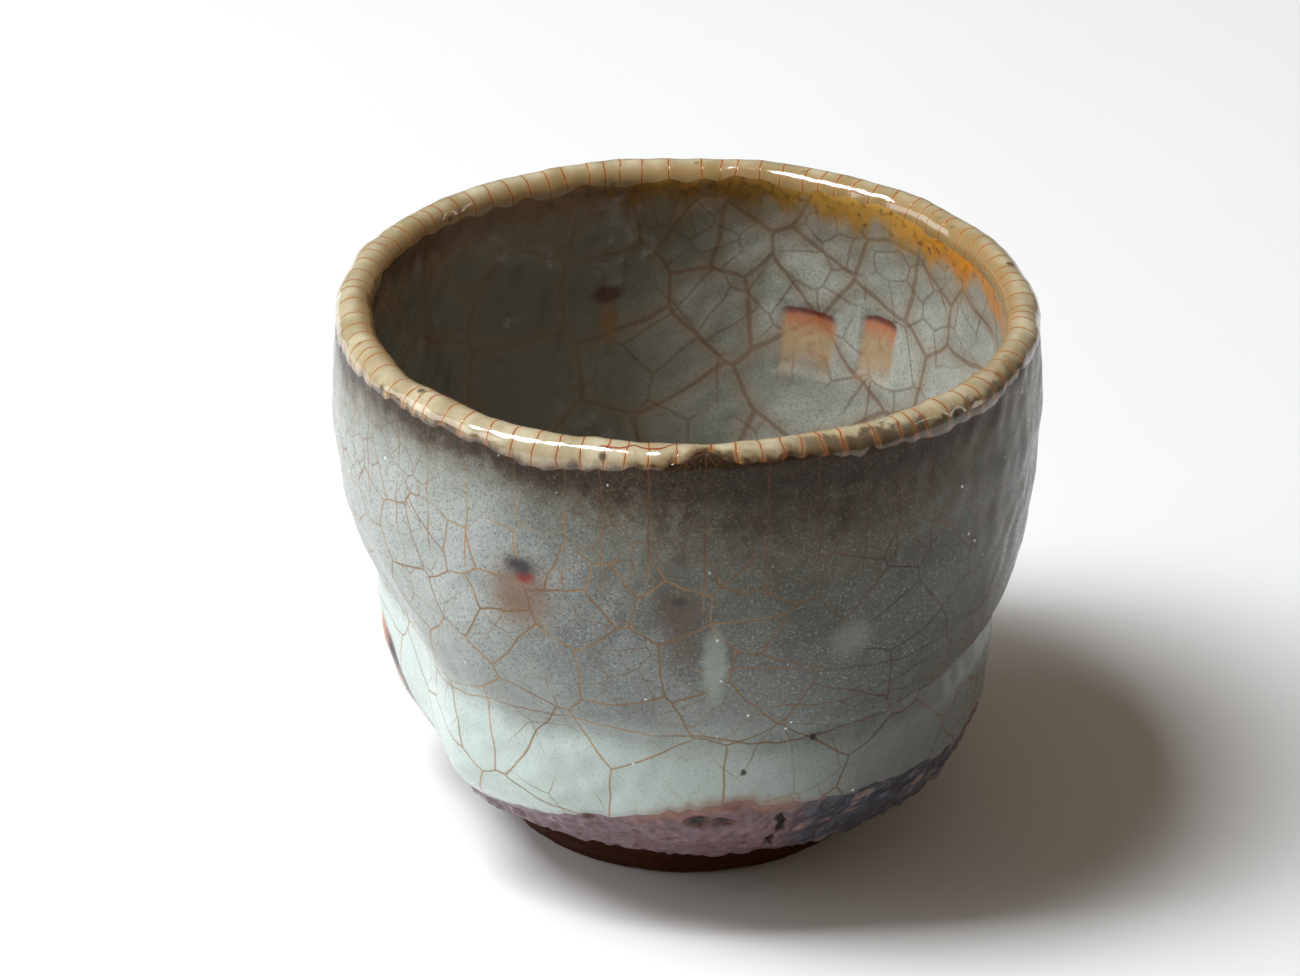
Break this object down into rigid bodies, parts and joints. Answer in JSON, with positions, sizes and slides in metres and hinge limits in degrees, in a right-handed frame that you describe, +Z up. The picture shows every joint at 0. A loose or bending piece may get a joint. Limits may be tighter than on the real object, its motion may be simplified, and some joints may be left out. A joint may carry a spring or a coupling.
{
  "type": "sake cup",
  "caption": "Small hand-thrown stoneware sake cup: round bowl wall with a throwing groove and thumb dent, turned foot ring, crackled glaze, cream lip and a thick glaze roll.",
  "frame": {"origin": "centre of the circle that the foot ring stands on", "axes": "+Z up out of the cup's mouth; the shown front faces -Y; the thumb dent is on the -X side, turned 20 degrees towards -Y"},
  "size_m": [0.067, 0.067, 0.0524],
  "materials": {
    "body_clay": "matt fired stoneware, dark brown",
    "foot_clay": "turned and burnished dark brown stoneware, satin",
    "inner_glaze": "glossy grey-green glaze with an amber band and brown crackle",
    "outer_glaze": "glossy grey celadon glaze, speckled, with a fine brown crackle",
    "lip_glaze": "glossy cream glaze with an orange-brown crackle",
    "roll_glaze": "thick mauve and blue-grey glaze, satin, pitted"
  },
  "bodies": {
    "root": {"clay_body": "body_clay", "foot_ring": "foot_clay", "inner_glaze": "inner_glaze", "outer_glaze": "outer_glaze", "lip_glaze": "lip_glaze", "glaze_roll": "roll_glaze"}
  },
  "joints": []
}
